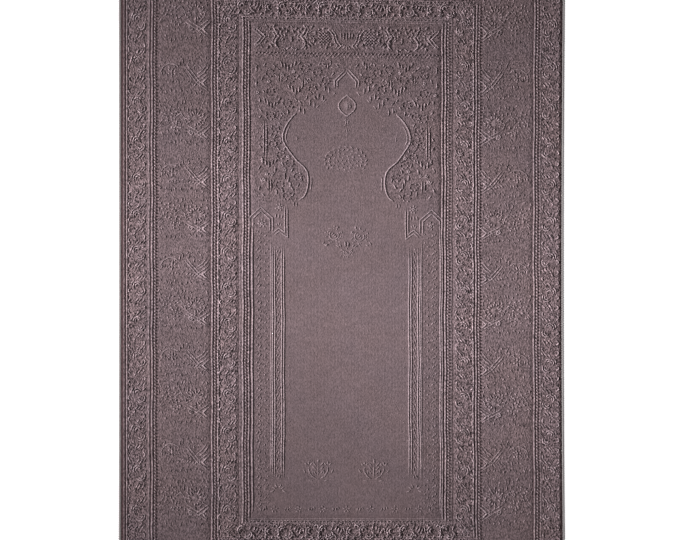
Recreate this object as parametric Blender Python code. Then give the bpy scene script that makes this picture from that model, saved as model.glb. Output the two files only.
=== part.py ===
"""A flat prayer rug of short velvet pile, with its niche, columns and borders raised in the pile,
and a stitched yarn binding round its four edges. Metres, +Z up, +Y towards the point of the niche,
origin at the middle of the underside."""

import math
from collections import namedtuple

import bmesh
import bpy

MM = 0.001

# Driving dimensions
RUG_WIDTH = 700 * MM
RUG_LENGTH = 1100 * MM
GROUND = 4.0 * MM  # top of the plain pile
RAISED = 5.3 * MM  # top of the raised lines and motifs
ROOT = 3.2 * MM  # where a raised piece starts, inside the pile
GAP = 0.3 * MM  # clearance between the cloth and its binding

# The binding, a strip of stitches folded round the cloth's thin edge
BINDING_WIDTH = 4.8 * MM
BINDING_HEIGHT = 4.3 * MM
BINDING_WALL = 1.5 * MM
BINDING_ROUND = 1.0 * MM
LOWER_LIP = 0.9 * MM
EDGE_LOW = 1.2 * MM  # underside of the cloth's thin edge
EDGE_HIGH = 2.7 * MM  # upper side of the cloth's thin edge
UNDERSIDE_TOP = 2.0 * MM  # how far the underside's block reaches up into the cloth
PILE_FOOT = 0.5 * MM  # where the block of pile starts

# From the rug's edge to the pile: the pressed furrow is wider on the left than on the right
FURROW_LEFT = 10.2 * MM
FURROW_RIGHT = 7.8 * MM
FURROW_END = 9.0 * MM

# The cloth's own unevenness
WAIST = 1.9 * MM  # how far the right edge draws in at mid-length
WAIST_REACH = 420 * MM
SLANT = 0.0165  # how much the woven rows slope down to the right
SLANT_FROM, SLANT_FULL = -380 * MM, -180 * MM
SLANT_FADES, SLANT_ENDS = 430 * MM, 540 * MM
STATION = 275 * MM  # longest straight stretch along the rug's edges and lines

# Sizes below this line count in millimetres on the rug
LINE_WIDTH = 2.5
THIN_LINE = 2.2
ROPE_WIDTH = 4.0
LEAF_WIDTH = 3.6
FIELD_CENTRE = 7.2  # the pattern sits this far right of the rug's middle
END_SHRINK = 0.75  # a border turned round the rug's end is narrower by this much
PETAL_CUT = 0.62  # the notches between a flower's petals, in radii
PETAL_BLUNT = 0.2  # half the width of a petal's blunt tip, in petals

Frame = namedtuple("Frame", "left right half_height upright_width end_width")
FRAMES = (
    Frame(-296.7, 305.0, 507.0, 6.3, 4.8),  # rope between the outer guard and the main border
    Frame(-202.6, 213.8, 424.4, 6.3, 4.8),  # rope between the main border and the inner guard
    Frame(-160.1, 173.6, 400.0, 2.5, 1.9),
    Frame(-153.6, 167.2, 395.7, 5.6, 4.0),  # rope round the niche
    Frame(-146.6, 160.6, 391.0, 2.5, 1.9),
)

# Bands of repeated motifs. Rows run up the sides and columns along the ends.
Band = namedtuple("Band", "left right half_height width last_row columns")
OUTER_GUARD = Band(-321.2, 327.8, 526.0, 30.0, 7.5, 8)
MAIN_BORDER = Band(-249.5, 259.3, 466.0, 82.0, 5, 5)
INNER_GUARD = Band(-179.0, 191.8, 411.6, 32.0, 6.5, 4)
GUARD_ROW = 0.777  # height of a guard's row, in rows of the main border
MAIN_PITCH = 76.0  # height of the main border's row that its motifs are drawn for
GUARD_PITCH = 59.0

# The arch, x sideways from the field's centre
CROWN = (0.0, 316.0)
CROWN_FOOT = (19.0, 299.0)
SLOPE_TOP = (17.0, 289.0)
SHOULDER = (74.0, 251.0)
SLOPE_STEPS = 4
Arc = namedtuple("Arc", "centre radii start end")
LOBE = Arc((61.0, 211.0), (38.5, 43.0), 68.0, -38.0)
CUSP = Arc((81.0, 136.0), (24.0, 29.0), 127.0, 258.0)

# Columns with their capitals, and the narrow gabled strips beside them, x from the field's centre
COLUMN = {"middle": 107.6, "half": 8.2, "low": -330.0, "high": 38.0, "braid": 18.4, "base": -344.0}
CAPITAL = {"inner": 93.0, "outer": 115.0, "low": 56.0, "high": 100.0, "notch": 11.0}
GABLE = {"inner": 118.5, "outer": 147.5, "middle": 133.0, "foot": 80.0, "apex": 92.0, "stop": 56.0}
STRIP = {"low": -387.0, "first": 56.0, "pitch": 27.4, "leaves": 16}

# What stands in the field: the middle of each, from the field's centre
MEDALLION = (0, 261)
GARLAND = (0, 168)
BOUQUET_FLOWERS = ((-18, 57, 8), (18, 54, 8), (-1, 28, 9))  # x, y, radius
BOUQUET_LEAVES = ((-30, 44, 60), (30, 50, -60), (-8, 40, 30), (8, 40, -30), (0, 6, 0))  # x, y, turn
PLANTS = ((-44, -322), (43, -322))
DOTS = {"height": -376, "pitch": 19, "each_side": 7}

# The spandrels' slanting rows of flowers, and what stands beside the arch
SPANDREL = {"first": (31, 296), "step": (27, -18), "row": (-6, 17), "rows": 4, "steps": 5}
SPANDREL_REACH, SPANDREL_TOP = 124, 328
STEMS = ((127, 215, 44), (115, 132, 26), (139, 300, 34))  # x, y of the middle, length
SIDE_FLOWERS = ((117, 190), (135, 176), (109, 163), (129, 124), (88, 134), (102, 118))

# The panel of cartouches above the arch
PANEL_MIDDLE = 365.5
PANEL_ROPE = 339.4
PANEL_HALF = 145
CARTOUCHE_AT, RINGED_FLOWER_AT = 90, 38.5
PANEL_LEAVES_AT = (62, 118)


def smooth_step(value, start, end):
    share = min(1.0, max(0.0, (value - start) / (end - start)))
    return share * share * (3 - 2 * share)


def drift(x, y):
    """Where the uneven weaving leaves a point that the loom meant for x, y, in metres."""
    waist = WAIST * max(0.0, 1 - (y / WAIST_REACH) ** 2) * smooth_step(x, 0, RUG_WIDTH / 2)
    fade = 1 - smooth_step(abs(y), SLANT_FADES, SLANT_ENDS)
    slant = SLANT * smooth_step(y, SLANT_FROM, SLANT_FULL) * fade
    return x - waist, y - slant * (x - FIELD_CENTRE * MM)


def row_height(row):
    """Height of a row of the main border, -5 to 5: the weave is beaten tighter mid-length."""
    return -5.7 + 71.5 * row + 0.3 * row**2 + 0.18 * row**3


def row_stretch(row, height, pitch):
    """How much taller than its drawn pitch a row of that height is woven."""
    return (row_height(row + height / 2) - row_height(row - height / 2)) / pitch


# Shapes in the plan, as lists of (x, y) in millimetres


def between(start, end, step=STATION / MM):
    """Points from start to end, both included, no further apart than step."""
    count = max(1, math.ceil(math.dist(start, end) / step))
    points = []
    for i in range(count + 1):
        share = i / count
        points.append((start[0] + (end[0] - start[0]) * share, start[1] + (end[1] - start[1]) * share))
    return points


def rectangle(left, right, half_height):
    """A rectangle's outline, with points along its long sides."""
    corners = [(left, -half_height), (right, -half_height), (right, half_height), (left, half_height)]
    outline = []
    for i, corner in enumerate(corners):
        outline += between(corner, corners[(i + 1) % 4])[:-1]
    return outline


def arc_points(arc, count):
    points = []
    for i in range(count + 1):
        angle = math.radians(arc.start + (arc.end - arc.start) * i / count)
        x = arc.centre[0] + arc.radii[0] * math.cos(angle)
        points.append((x, arc.centre[1] + arc.radii[1] * math.sin(angle)))
    return points


def placed(points, at, turn=0.0, scale=(1.0, 1.0)):
    """Points scaled, turned by degrees and moved to at."""
    cos, sin = math.cos(math.radians(turn)), math.sin(math.radians(turn))
    moved = []
    for x, y in points:
        x, y = x * scale[0], y * scale[1]
        moved.append((at[0] + cos * x - sin * y, at[1] + sin * x + cos * y))
    return moved


def in_field(points, at=(0, 0), turn=0.0):
    """Points drawn about a place in the field, turned by degrees, as places on the rug."""
    return placed(points, (FIELD_CENTRE + at[0], at[1]), turn)


def polar(radius, turn):
    return radius * math.cos(math.radians(turn)), radius * math.sin(math.radians(turn))


def blossom(petals, radius):
    """The outline of an open flower of blunt petals."""
    outline = []
    for i in range(petals):
        turn = 90 + 360 * i / petals
        blunt = 360 / petals * PETAL_BLUNT
        outline += [polar(radius, turn - blunt), polar(radius, turn + blunt)]
        outline.append(polar(radius * PETAL_CUT, turn + 180 / petals))
    return outline


def dot(radius):
    """The outline of a small round flower."""
    return [polar(radius, 60 * i) for i in range(6)]


def tulip(radius):
    """The outline of a flower of three petals seen from its side, opening upwards."""
    tip = (radius * 0.85, radius * 0.68)
    notch = (radius * 0.36, radius * 0.32)
    return [(0, -radius * 0.5), tip, notch, (0, radius), (-notch[0], notch[1]), (-tip[0], tip[1])]


def leaf(length, width):
    """The outline of a leaf that points up from its foot at 0, 0."""
    widest = length * 0.45
    return [(0, 0), (width / 2, widest), (0, length), (-width / 2, widest)]


def bent_leaf(reach, rise, width):
    """The outline of a slanted leaf whose two tips bend back, from -reach to reach."""
    tip = (reach, rise * 0.3)
    outside = (reach * 0.3, rise + width * 0.5)
    inside = (reach * 0.3 + width * 0.45, rise - width * 1.1)
    half = [tip, outside, (-inside[0], -inside[1])]
    return half + [(-x, -y) for x, y in half]


# Solids


def new_solid(name, bm):
    """Ends a mesh: faces outwards, in metres, with the cloth's own drift."""
    bmesh.ops.recalc_face_normals(bm, faces=bm.faces)
    for vert in bm.verts:
        vert.co.x, vert.co.y = drift(vert.co.x * MM, vert.co.y * MM)
    mesh = bpy.data.meshes.new(name)
    bm.to_mesh(mesh)
    bm.free()
    solid = bpy.data.objects.new(name, mesh)
    bpy.context.scene.collection.objects.link(solid)
    return solid


def raise_faces(bm, faces, height):
    """Turns flat faces into a closed block of that height."""
    raised = bmesh.ops.extrude_face_region(bm, geom=faces, use_keep_orig=True)
    verts = [item for item in raised["geom"] if isinstance(item, bmesh.types.BMVert)]
    bmesh.ops.translate(bm, verts=verts, vec=(0, 0, height))


def add_pad(bm, outline, low=ROOT, high=RAISED):
    """A flat block with the given outline."""
    verts = [bm.verts.new((x, y, low)) for x, y in outline]
    raise_faces(bm, [bm.faces.new(verts)], high - low)


def add_strip(bm, left, right, closed):
    """A raised strip between two rows of points."""
    left_verts = [bm.verts.new((x, y, ROOT)) for x, y in left]
    right_verts = [bm.verts.new((x, y, ROOT)) for x, y in right]
    count = len(left)
    faces = []
    for i in range(count if closed else count - 1):
        j = (i + 1) % count
        faces.append(bm.faces.new((left_verts[i], left_verts[j], right_verts[j], right_verts[i])))
    raise_faces(bm, faces, RAISED - ROOT)


def direction(start, end):
    length = math.dist(start, end)
    return (end[0] - start[0]) / length, (end[1] - start[1]) / length


def add_line(bm, points, width=LINE_WIDTH, closed=False):
    """A raised line along points, mitred at its corners."""
    count = len(points)
    left, right = [], []
    for i, (x, y) in enumerate(points):
        before = points[i - 1] if closed or i else None
        after = points[(i + 1) % count] if closed or i < count - 1 else None
        ahead = direction((x, y), after) if after else direction(before, (x, y))
        behind = direction(before, (x, y)) if before else ahead
        across = (-(ahead[1] + behind[1]), ahead[0] + behind[0])
        mitre = width / (across[0] ** 2 + across[1] ** 2)
        left.append((x + across[0] * mitre, y + across[1] * mitre))
        right.append((x - across[0] * mitre, y - across[1] * mitre))
    add_strip(bm, left, right, closed)


# The borders


def add_frames(bm):
    """The closed rectangles of raised line, whose end bars are narrower than their uprights."""
    for frame in FRAMES:
        rings = []
        for side in (0.5, -0.5):
            out, up = frame.upright_width * side, frame.end_width * side
            rings.append(rectangle(frame.left - out, frame.right + out, frame.half_height + up))
        add_strip(bm, *rings, closed=True)


def add_border_unit(bm, at, turn, side, stretch, even):
    """One repeat of the main border: an open flower, a tulip, a leaf, and a chevron by its inner line."""
    scale = (side, stretch)
    motifs = (
        (blossom(5, 12), (-20, 12), 0 if even else 36),
        (tulip(13), (15, 7), 14 if even else -14),
        (leaf(13, LEAF_WIDTH), (-8, -26), 38 if even else -20),
    )
    for outline, place, spin in motifs:
        add_pad(bm, placed(placed(outline, place, spin), at, turn, scale))
    chevron = [(38.5, -4), (28, -15), (38.5, -26)]
    add_line(bm, placed(chevron, at, turn, scale))


def add_main_border(bm):
    band = MAIN_BORDER
    for row in range(-band.last_row, band.last_row + 1):
        stretch = row_stretch(row, 1, MAIN_PITCH)
        for x, side in ((band.left, 1), (band.right, -1)):
            add_border_unit(bm, (x, row_height(row)), 0, side, stretch, row % 2 == 0)
    pitch = (band.right - band.left) / (band.columns + 1)
    for column in range(1, band.columns + 1):
        for side in (1, -1):
            at = (band.left + pitch * column, band.half_height * side)
            add_border_unit(bm, at, -90 * side, END_SHRINK, 1.0, column % 2 == 0)
    for x in (band.left, band.right):
        for side in (1, -1):
            add_pad(bm, placed(blossom(8, 20), (x, band.half_height * side), 0, (1, END_SHRINK)))


def add_guard(bm, band):
    """A guard band: slanted leaves with bent tips, all the way round."""
    outline = bent_leaf(band.width / 2 - 3, 12, LEAF_WIDTH)
    rows = int(2 * band.last_row) + 1
    for i in range(rows):
        row = (i - band.last_row) * GUARD_ROW
        stretch = row_stretch(row, GUARD_ROW, GUARD_PITCH)
        for x, side in ((band.left, 1), (band.right, -1)):
            add_pad(bm, placed(outline, (x, row_height(row)), 0, (side, stretch)))
    pitch = (band.right - band.left) / (band.columns + 1)
    for column in range(1, band.columns + 1):
        for side in (1, -1):
            at = (band.left + pitch * column, band.half_height * side)
            add_pad(bm, placed(outline, at, -90, (END_SHRINK * side, 1.2)))


def add_corner_flowers(bm, band):
    for x in (band.left, band.right):
        for side in (1, -1):
            add_pad(bm, placed(blossom(5, 9), (x, band.half_height * side)))


# The niche


def arch_half(side):
    """The arch's line from its point down one side: crown, stepped slope, lobe and cusp."""
    points = [CROWN, CROWN_FOOT, SLOPE_TOP]
    run = (SHOULDER[0] - SLOPE_TOP[0]) / SLOPE_STEPS
    drop = (SLOPE_TOP[1] - SHOULDER[1]) / SLOPE_STEPS
    for i in range(SLOPE_STEPS):
        x, y = SLOPE_TOP[0] + run * i, SLOPE_TOP[1] - drop * i
        points += [(x + run, y), (x + run - 1, y - drop)]
    points += arc_points(LOBE, 6)
    points += arc_points(CUSP, 6)
    return [(x * side, y) for x, y in points]


def add_medallion(bm):
    outline = [(0, 15.5), (11, 8.5), (11, -8.5), (0, -15.5), (-11, -8.5), (-11, 8.5)]
    add_line(bm, in_field(outline, MEDALLION), closed=True)
    add_line(bm, in_field([(0, 7), (0, -7)], MEDALLION), THIN_LINE)
    for below in (25, 37):
        add_pad(bm, in_field(leaf(8, 3), (MEDALLION[0], MEDALLION[1] - below)))


def add_column(bm, side):
    """Two upright lines with a braid of slanted leaves between them, on a base of five leaves."""
    middle = side * COLUMN["middle"]
    for edge in (-COLUMN["half"], COLUMN["half"]):
        upright = between((edge, COLUMN["low"]), (edge, COLUMN["high"]))
        add_line(bm, in_field(upright, (middle, 0)), THIN_LINE)
    count = int((COLUMN["high"] - COLUMN["low"]) / COLUMN["braid"])
    braid_leaf = placed(leaf(11, 3.4), (-2.5, -5), -28)
    for i in range(count):
        add_pad(bm, in_field(braid_leaf, (middle, COLUMN["low"] + COLUMN["braid"] * (i + 0.5))))
    for turn in range(36, 360, 72):
        add_pad(bm, in_field(placed(leaf(9, 4), (0, 2.5)), (middle, COLUMN["base"]), turn))


def add_capital_and_strip(bm, side):
    """The column's notched capital, and the narrow gabled strip of leaves beside the column."""
    inner, outer = side * CAPITAL["inner"], side * CAPITAL["outer"]
    low, high = CAPITAL["low"], CAPITAL["high"]
    notch = ((inner + outer) / 2, low + CAPITAL["notch"])
    add_line(bm, in_field([(inner, high), (inner, low), notch, (outer, low)]))
    inner, outer, middle = side * GABLE["inner"], side * GABLE["outer"], side * GABLE["middle"]
    foot = GABLE["foot"]
    roof = [(inner, GABLE["stop"]), (inner, foot), (middle, GABLE["apex"])]
    add_line(bm, in_field(roof + between((outer, foot), (outer, STRIP["low"]))), THIN_LINE)
    strip_leaf = placed(leaf(10, LEAF_WIDTH), (-1.5 * side, -4), -40 * side)
    for i in range(STRIP["leaves"]):
        add_pad(bm, in_field(strip_leaf, (middle, STRIP["first"] - STRIP["pitch"] * i)))


def add_field_flowers(bm):
    """The garland, the bouquet and the two plants in the niche, and the row of dots below them."""
    for turn in range(-90, 91, 36):
        add_pad(bm, in_field(placed(leaf(12, 5), (0, 17), -20), GARLAND, turn))
    add_pad(bm, in_field(blossom(5, 8), (GARLAND[0], GARLAND[1] + 8)))
    for x, y, radius in BOUQUET_FLOWERS:
        add_pad(bm, in_field(blossom(5, radius), (x, y)))
    for x, y, turn in BOUQUET_LEAVES:
        add_pad(bm, in_field(leaf(12, 4), (x, y), turn))
    for plant in PLANTS:
        for turn in (-75, -38, 0, 38, 75):
            add_pad(bm, in_field(placed(leaf(16, 4), (0, 4)), plant, turn))
    for i in range(-DOTS["each_side"], DOTS["each_side"] + 1):
        add_pad(bm, in_field(placed(leaf(6, 3), (0, -3)), (i * DOTS["pitch"], DOTS["height"])))


def add_spandrels(bm):
    """Flowers and leaves in slanting rows above the arch, and stems and flowers beside it."""
    first, step, row = SPANDREL["first"], SPANDREL["step"], SPANDREL["row"]
    for side in (1, -1):
        for i in range(SPANDREL["rows"]):
            for j in range(SPANDREL["steps"]):
                x = first[0] + step[0] * j + row[0] * i
                y = first[1] + step[1] * j + row[1] * i
                if x > SPANDREL_REACH or y > SPANDREL_TOP:
                    continue
                if (i + j) % 2:
                    add_pad(bm, in_field(dot(7), (side * x, y)))
                else:
                    add_pad(bm, in_field(placed(leaf(14, 4.4), (0, -6)), (side * x, y), -35 * side))
        for x, y, length in STEMS:
            add_pad(bm, in_field(leaf(length, LEAF_WIDTH), (side * x, y - length / 2)))
        for x, y in SIDE_FLOWERS:
            add_pad(bm, in_field(dot(6), (side * x, y)))


def add_cartouches(bm):
    """The panel above the arch: ogee cartouches and ringed flowers about a middle flower of leaves."""
    rope = [(-PANEL_HALF, PANEL_ROPE), (0, PANEL_ROPE), (PANEL_HALF, PANEL_ROPE)]
    add_line(bm, in_field(rope), ROPE_WIDTH)
    side = [(11, 17), (14.5, 8), (22, 0), (14.5, -8), (11, -17)]
    ogee = [(0, 20), *side, (0, -20), *[(-x, y) for x, y in reversed(side)]]
    ring = arc_points(Arc((0, 0), (13.5, 15.5), 0, 315), 7)
    half_lozenge = [(PANEL_HALF, 17), (PANEL_HALF - 16, 0), (PANEL_HALF, -17)]
    for mirror in (1, -1):
        cartouche = (CARTOUCHE_AT * mirror, PANEL_MIDDLE)
        add_line(bm, in_field(ogee, cartouche), closed=True)
        add_line(bm, in_field([(0, 9), (0, -9)], cartouche))
        ringed = (RINGED_FLOWER_AT * mirror, PANEL_MIDDLE)
        add_line(bm, in_field(ring, ringed), closed=True)
        add_pad(bm, in_field(blossom(5, 8), ringed))
        add_line(bm, in_field([(x * mirror, y) for x, y in half_lozenge], (0, PANEL_MIDDLE)))
        for x in PANEL_LEAVES_AT:
            for turn in (0, 180):
                add_pad(bm, in_field(placed(leaf(13, 4.5), (0, 4)), (x * mirror, PANEL_MIDDLE), turn))
    for turn in range(0, 360, 60):
        add_pad(bm, in_field(placed(leaf(13, 5), (0, 3)), (0, PANEL_MIDDLE), turn))


def make_raised_pattern():
    """Every raised line and motif, as closed pieces rooted inside the pile."""
    bm = bmesh.new()
    add_frames(bm)
    add_main_border(bm)
    add_guard(bm, OUTER_GUARD)
    add_corner_flowers(bm, OUTER_GUARD)
    add_guard(bm, INNER_GUARD)
    for side in (1, -1):
        add_line(bm, in_field(arch_half(side)))
        add_column(bm, side)
        add_capital_and_strip(bm, side)
    add_medallion(bm)
    add_field_flowers(bm)
    add_spandrels(bm)
    add_cartouches(bm)
    return new_solid("raised_pattern", bm)


# The pieces


def join_to(body, other, touching=False):
    """Joins another closed shape to the body and leaves that shape as a hidden guide."""
    union = body.modifiers.new("join " + other.name, "BOOLEAN")
    union.operation = "UNION"
    union.solver = "EXACT"
    union.use_self = touching
    union.object = other
    other.hide_render = True
    other.display_type = "WIRE"


def make_block(name, left, right, end, low, high):
    """A flat block that stops short of the rug's left, right and end edges by the lengths given."""
    bm = bmesh.new()
    x, y = RUG_WIDTH / 2 / MM, RUG_LENGTH / 2 / MM
    add_pad(bm, rectangle(left / MM - x, x - right / MM, y - end / MM), low, high)
    return new_solid(name, bm)


def make_rug():
    """The cloth: underside, thin edge, pile and raised pattern, joined to one solid."""
    edge = BINDING_WALL + GAP
    lip = BINDING_WIDTH + GAP
    body = make_block("rug_body", FURROW_LEFT, FURROW_RIGHT, FURROW_END, PILE_FOOT, GROUND)
    join_to(body, make_block("underside", lip, lip, lip, 0, UNDERSIDE_TOP))
    join_to(body, make_block("thin_edge", edge, edge, edge, EDGE_LOW, EDGE_HIGH))
    join_to(body, make_raised_pattern(), touching=True)
    return body


def binding_section():
    """The binding's section, as distance in from the rug's edge and height: it hugs the thin edge."""
    width, wall, top, corner = BINDING_WIDTH, BINDING_WALL, BINDING_HEIGHT, BINDING_ROUND
    lip = EDGE_HIGH + GAP
    inside = [(width, LOWER_LIP), (wall, LOWER_LIP), (wall, lip), (width, lip)]
    shoulder = [(width - 0.6 * MM, top - 0.2 * MM), (width / 2, top), (corner, top - 0.4 * MM)]
    outside = [(0, top - 1.5 * MM), (0, corner), (corner, 0), (width, 0)]
    return inside + shoulder + outside


def make_binding(name, start, end, inward):
    """A strip of binding from start to end along the rug's edge."""
    bm = bmesh.new()
    rings = []
    for x, y in between(start, end):
        ring = [(x + inward[0] * deep / MM, y + inward[1] * deep / MM, z) for deep, z in binding_section()]
        rings.append([bm.verts.new(point) for point in ring])
    bm.faces.new(rings[0])
    bm.faces.new(rings[-1])
    for ring, after in zip(rings, rings[1:]):
        for i, corner in enumerate(ring):
            j = (i + 1) % len(ring)
            bm.faces.new((corner, ring[j], after[j], after[i]))
    return new_solid(name, bm)


def make_bindings():
    x, y = RUG_WIDTH / 2 / MM, RUG_LENGTH / 2 / MM
    stop = x - (BINDING_WIDTH + GAP) / MM
    return [
        make_binding("binding_left", (-x, -y), (-x, y), (1, 0)),
        make_binding("binding_right", (x, -y), (x, y), (-1, 0)),
        make_binding("binding_top", (-stop, y), (stop, y), (0, -1)),
        make_binding("binding_bottom", (-stop, -y), (stop, -y), (0, 1)),
    ]


def material(name, colour, roughness, sheen):
    finish = bpy.data.materials.new(name)
    finish.use_nodes = True
    shader = finish.node_tree.nodes["Principled BSDF"]
    shader.inputs["Base Color"].default_value = (*colour, 1)
    shader.inputs["Roughness"].default_value = roughness
    shader.inputs["Metallic"].default_value = 0.0
    shader.inputs["Sheen Weight"].default_value = sheen
    return finish


def main():
    for old in list(bpy.data.objects):
        bpy.data.objects.remove(old, do_unlink=True)
    rug = make_rug()
    rug.data.materials.append(material("mauve velvet pile", (0.195, 0.138, 0.147), 0.9, 0.3))
    for binding in make_bindings():
        yarn = material(binding.name + " grey yarn", (0.34, 0.32, 0.31), 0.8, 0.1)
        binding.data.materials.append(yarn)


main()
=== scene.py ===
"""The looks of a flat prayer rug of short mauve velvet pile, seen from straight above.

Its whole pattern is raised in the pile: ropes, borders, a niche on two columns, flowers. A grey yarn
is overlocked round the edges. Sizes are millimetres on the rug until MM makes metres of them.
"""

import math
import random
from collections import namedtuple

import bmesh
import bpy
from mathutils import Matrix, Vector


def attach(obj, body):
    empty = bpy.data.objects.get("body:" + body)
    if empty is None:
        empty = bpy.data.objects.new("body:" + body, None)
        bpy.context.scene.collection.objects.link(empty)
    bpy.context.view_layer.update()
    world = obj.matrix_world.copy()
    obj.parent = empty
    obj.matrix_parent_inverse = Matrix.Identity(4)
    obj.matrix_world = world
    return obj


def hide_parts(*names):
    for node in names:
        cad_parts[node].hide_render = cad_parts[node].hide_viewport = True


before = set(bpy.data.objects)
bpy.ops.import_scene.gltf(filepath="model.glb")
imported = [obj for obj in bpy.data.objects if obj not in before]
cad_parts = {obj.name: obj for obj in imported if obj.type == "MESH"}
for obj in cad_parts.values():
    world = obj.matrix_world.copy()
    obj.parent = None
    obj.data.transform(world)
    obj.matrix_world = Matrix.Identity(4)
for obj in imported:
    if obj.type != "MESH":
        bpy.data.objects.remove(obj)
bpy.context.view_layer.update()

MM = 0.001
PHOTO_WIDTH_MM = 1067.3  # what the photograph's width spans on the rug
PHOTO_CENTRE = (-3.15, 0.8)

# The rug's sizes, as in the part
HALF_WIDTH, HALF_LENGTH = 350.0, 550.0
GROUND = 4.0  # top of the plain pile
UNDERSIDE_LIP = 5.2  # the flat underside starts so far inside the edge
EDGE_INSIDE = 1.8  # and the cloth itself so far, with the yarn round it
EDGE_TOP, EDGE_BOTTOM = 3.0, 1.1
RIM_ENDS, FULL_PILE = 3.9, 6.2  # inwards from the edge: the thin rim, and where the pile is full

# How uneven the weaving is
WAIST, WAIST_REACH = 1.9, 420.0  # how much the right edge draws in mid-length, and over what length
SLANT = 0.0165  # how much the cross lines sink to the right, and where along the rug they do
SLANT_FROM, SLANT_FULL, SLANT_FADES, SLANT_ENDS = -380.0, -180.0, 430.0, 540.0
BEATEN = 0.0035  # how much tighter than planned the weave is beaten along the rug
WAVER = 0.45
FIELD_CENTRE = 7.2  # where the field's centre line runs
END_SHRINK = 0.75  # the bands across the rug are narrower than the upright ones

# A raised line or a groove of the cloth: its distance, half width and rise.
# A frame's lines count outwards from the frame, an edge's lines inwards from the rug's edge.
ROPE = ((2.3, 1.7, 1.15), (-2.3, 1.7, 1.15), (0.0, 0.9, -0.4), (4.8, 1.2, -0.4), (-4.8, 1.2, -0.4))
OUTER_ROPE = ROPE + ((7.2, 1.4, 0.6),)
INNER_ROPE = ROPE + ((-7.0, 1.6, 1.2), (-9.0, 0.9, -0.4))
LINE = ((0.0, 1.6, 1.1), (2.3, 1.0, -0.5), (-2.3, 1.0, -0.5))
FAINT_LINE = ((0.0, 1.5, 0.35), (2.2, 1.0, -0.3))
NICHE_ROPE = ROPE[:3]
LEFT_EDGE = ((5.8, 1.4, -0.6), (10.4, 1.2, -0.7), (12.6, 1.5, 0.8), (15.0, 1.2, -0.4))
PLAIN_EDGE = ((6.6, 1.4, -0.3),)
BAR_SHARE = 0.4  # how much of its rise a line keeps where it runs across the rug
TWIST = 2.3  # where the twisted ridge of an upright rope runs beside its line, always on the right
TWIST_BED = -0.1  # how much of its rise the cloth keeps under the twist
TWIST_PITCH, CROSS_PITCH = 5.0, 5.7  # of the twist, and of the slanted yarn in the ropes across the rug
TWIST_SINK = 0.6
Frame = namedtuple("Frame", "left right half_height profile")
FRAMES = (
    Frame(-295.4, 305.4, 507.0, OUTER_ROPE),
    Frame(-201.2, 214.0, 424.4, INNER_ROPE),
    Frame(-159.9, 172.6, 400.0, FAINT_LINE),
    Frame(-153.0, 165.4, 395.7, NICHE_ROPE),
    Frame(-146.1, 158.1, 391.0, LINE),
)
PROFILE_REACH = 11.0
PLAIN_STEP = 6.5  # widest spacing of the cloth's grid where it is plain

Band = namedtuple("Band", "left right half_height width last_row")
OUTER_GUARD = Band(-321.2, 327.8, 526.0, 30.0, 7.5)
MAIN_BORDER = Band(-249.5, 259.3, 466.0, 82.0, 5)
MAIN_COLUMNS = 5  # units of the main border across the rug, between the corners
INNER_GUARD = Band(-179.0, 191.8, 411.6, 32.0, 6.5)
GUARD_ROW = 0.777  # how many rows of the main border one wave of a guard band takes
MAIN_PITCH, GUARD_PITCH, SPRAY_PITCH = 76.0, 59.0, 21.0

# How coarse the pile's grain is, place by place. Where it is coarser the pile is also painted darker, as
# painted shade of the raised pattern
GUARD_GRAIN, BORDER_GRAIN, PANEL_GRAIN = 1.0, 0.62, 0.7
ARCHED_GRAIN, SPANDREL_GRAIN = 0.34, 0.3  # within the arch, and what the spandrels have more
FIELD_GRAIN, STRIP_GRAIN = 0.28, 0.2  # between the columns, and what the strips have more
PANEL_FOOT, ARCH_FOOT = 330.0, 108.0

# The pattern's strokes and lines: width and rise, and the share of the rise that brushing leaves
RELIEF = 0.78
STROKE, STROKE_RISE = 2.6, 1.3
THIN = 1.9
CORD, CORD_RISE = 2.4, 1.3
FINE, FINE_RISE = 1.9, 0.9
SINK = 0.25  # how far a raised shape reaches down into the pile
STRAIGHT_STEP, ARCH_STEP = 24.0, 6.0  # how far apart the points of a straight and of a curved line are

# Yarn of the binding
STITCH_PITCH = 3.7
STITCH_HEIGHT, STITCH_LEAN = 3.0, 99.0
LOOP_DEEP, LOOP_LEAN = 3.2, 70.0  # the needle's loops, inside the yarn
BINDING_WIDTH = 5.4
OUT_LEFT, OUT_RIGHT = 1.4, 0.4  # how far the yarn stands out past each long edge

chance = random.Random(11)


def smooth_step(value, start, end):
    share = min(1.0, max(0.0, (value - start) / (end - start)))
    return share * share * (3 - 2 * share)


def drift(x, y):
    """Where the uneven weaving leaves a point that the loom meant for x, y."""
    waist = WAIST * max(0.0, 1 - (y / WAIST_REACH) ** 2) * smooth_step(x, 0, HALF_WIDTH)
    fade = 1 - smooth_step(abs(y), SLANT_FADES, SLANT_ENDS)
    slant = SLANT * smooth_step(y, SLANT_FROM, SLANT_FULL) * fade
    inside = smooth_step(HALF_WIDTH - abs(x), 4, 40)
    waver = WAVER * inside * (math.sin(y / 23.0 + x / 90.0) + math.sin(y / 9.7 + x / 31.0) * 0.5)
    return x - waist + waver, y * (1 - BEATEN * fade) - slant * (x - FIELD_CENTRE)


def row_height(row):
    """Height of a row of the main border: the weave is beaten tighter mid-length."""
    return -5.7 + 71.5 * row + 0.3 * row**2 + 0.18 * row**3


def row_stretch(row, height, pitch):
    return (row_height(row + height / 2) - row_height(row - height / 2)) / pitch


# Places and paths


def at(x, y, turn=0.0, mirror=1.0, stretch=1.0):
    """A place on the rug where a motif stands, with its turn in degrees and its own scale."""
    spin = Matrix.Rotation(math.radians(turn), 4, "Z")
    return Matrix.Translation((x, y, 0)) @ spin @ Matrix.Diagonal((mirror, stretch, 1, 1))


def in_field(x=0.0, y=0.0, turn=0.0, mirror=1.0, stretch=1.0):
    """The same, counted from the field's centre line."""
    return at(FIELD_CENTRE + x, y, turn, mirror, stretch)


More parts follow.
